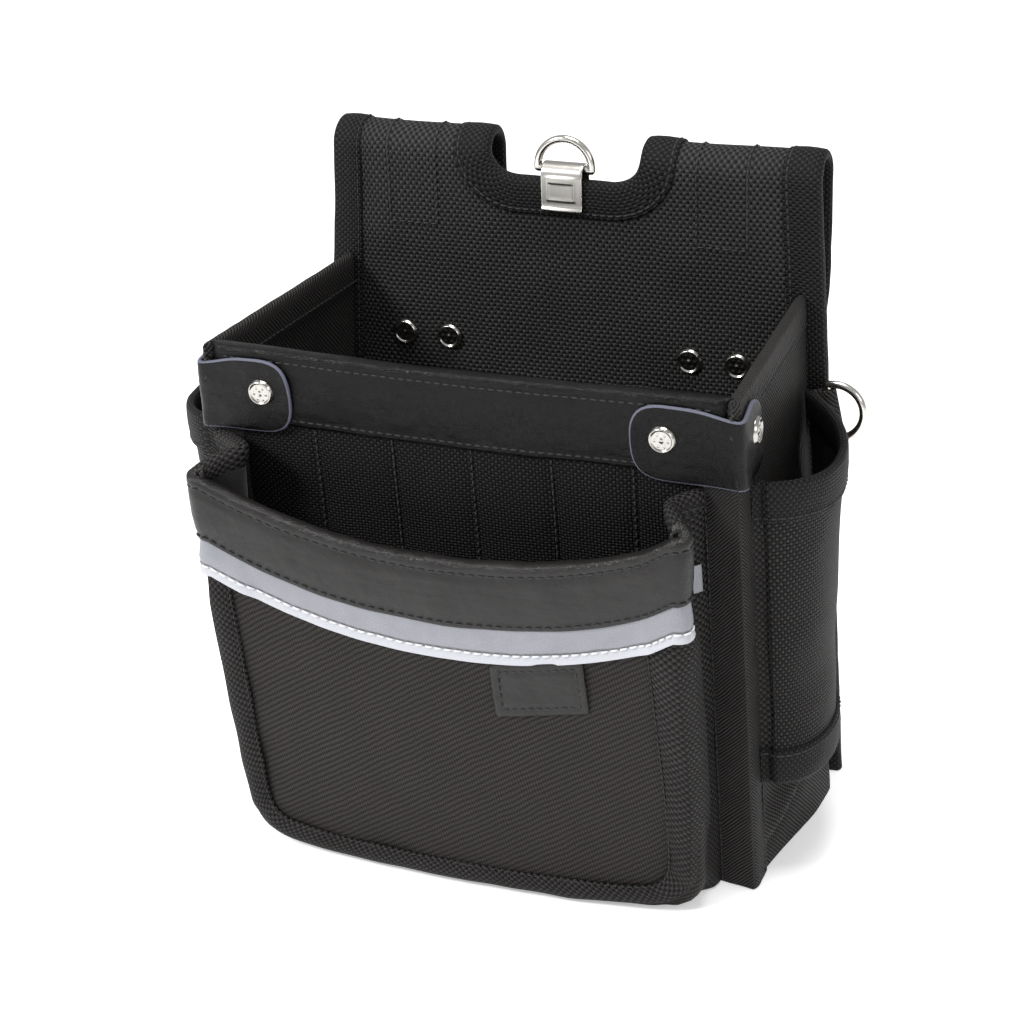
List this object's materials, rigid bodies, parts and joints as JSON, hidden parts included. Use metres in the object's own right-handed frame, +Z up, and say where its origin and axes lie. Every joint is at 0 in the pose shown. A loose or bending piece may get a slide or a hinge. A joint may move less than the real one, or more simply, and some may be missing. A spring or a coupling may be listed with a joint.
{
  "type": "electrician tool pouch",
  "caption": "Two-tier belt-worn tool pouch in ballistic cloth: boxed main pocket, pleated front pocket, side pockets, belt loops and D-rings.",
  "frame": {"origin": "bottom centre of the pouch's bounding box", "axes": "+Z up, -Y towards the front pocket, +X to the right seen from the front"},
  "size_m": [0.2872, 0.1814, 0.2935],
  "materials": {
    "ballistic_nylon": "coarse plain weave with a dull sheen",
    "gusset_cloth": "fine weave, folded and padded",
    "lining": "plain weave lining",
    "webbing": "diagonal twill webbing",
    "binding_tape": "ribbed herringbone tape",
    "smooth_leather": "smooth black leather, soft sheen",
    "reflective": "light grey retroreflective tape",
    "stiffener": "plain sheet",
    "nickel": "polished nickel plate"
  },
  "bodies": {
    "pouch": {"back_edge_binding_left": "binding_tape", "back_edge_binding_right": "binding_tape", "back_face_panel": "ballistic_nylon", "back_rear_panel": "ballistic_nylon", "back_rivet_caps": "nickel", "back_rivet_posts": "nickel", "back_stiffener_board": "stiffener", "belt_loop_left": "ballistic_nylon", "belt_loop_right": "ballistic_nylon", "belt_loop_webbing_left": "webbing", "belt_loop_webbing_right": "webbing", "bottom_board": "stiffener", "bottom_panel": "ballistic_nylon", "corner_strap_left": "smooth_leather", "corner_strap_right": "smooth_leather", "front_corner_binding_left": "binding_tape", "front_corner_binding_right": "binding_tape", "front_pocket_band": "smooth_leather", "front_pocket_border": "gusset_cloth", "front_pocket_floor": "gusset_cloth", "front_pocket_gusset_left": "gusset_cloth", "front_pocket_gusset_right": "gusset_cloth", "front_pocket_lining": "lining", "front_pocket_panel": "ballistic_nylon", "label_patch": "smooth_leather", "main_front_band": "smooth_leather", "main_front_board": "stiffener", "main_front_lining": "lining", "main_front_panel": "ballistic_nylon", "notch_binding": "binding_tape", "reflective_tape": "reflective", "ring_clip": "nickel", "side_panel_left": "webbing", "side_panel_right": "webbing", "side_pocket_bottom_binding_left": "binding_tape", "side_pocket_bottom_binding_right": "binding_tape", "side_pocket_floor_left": "gusset_cloth", "side_pocket_floor_right": "gusset_cloth", "side_pocket_gusset_left": "gusset_cloth", "side_pocket_gusset_right": "gusset_cloth", "side_pocket_panel_left": "ballistic_nylon", "side_pocket_panel_right": "ballistic_nylon", "side_pocket_rim_binding_left": "binding_tape", "side_pocket_rim_binding_right": "binding_tape", "side_ring_tab": "webbing", "side_top_binding_left": "binding_tape", "side_top_binding_right": "binding_tape", "strap_rivet_caps": "nickel", "strap_rivet_posts": "nickel", "tool_slot_strip": "lining"},
    "centre_ring": {"centre_d_ring": "nickel"},
    "side_ring": {"side_d_ring": "nickel"}
  },
  "joints": [
    {"name": "centre_ring_hinge", "type": "hinge", "parent": "pouch", "child": "centre_ring", "pos_m": [0, 0.0702, 0.2782], "axis": [1, 0, 0], "range_deg": [-95, 95]},
    {"name": "side_ring_hinge", "type": "hinge", "parent": "pouch", "child": "side_ring", "pos_m": [0.1246, 0.0626, 0.181], "axis": [0.2079, 0, -0.9781], "range_deg": [-80, 70]}
  ]
}
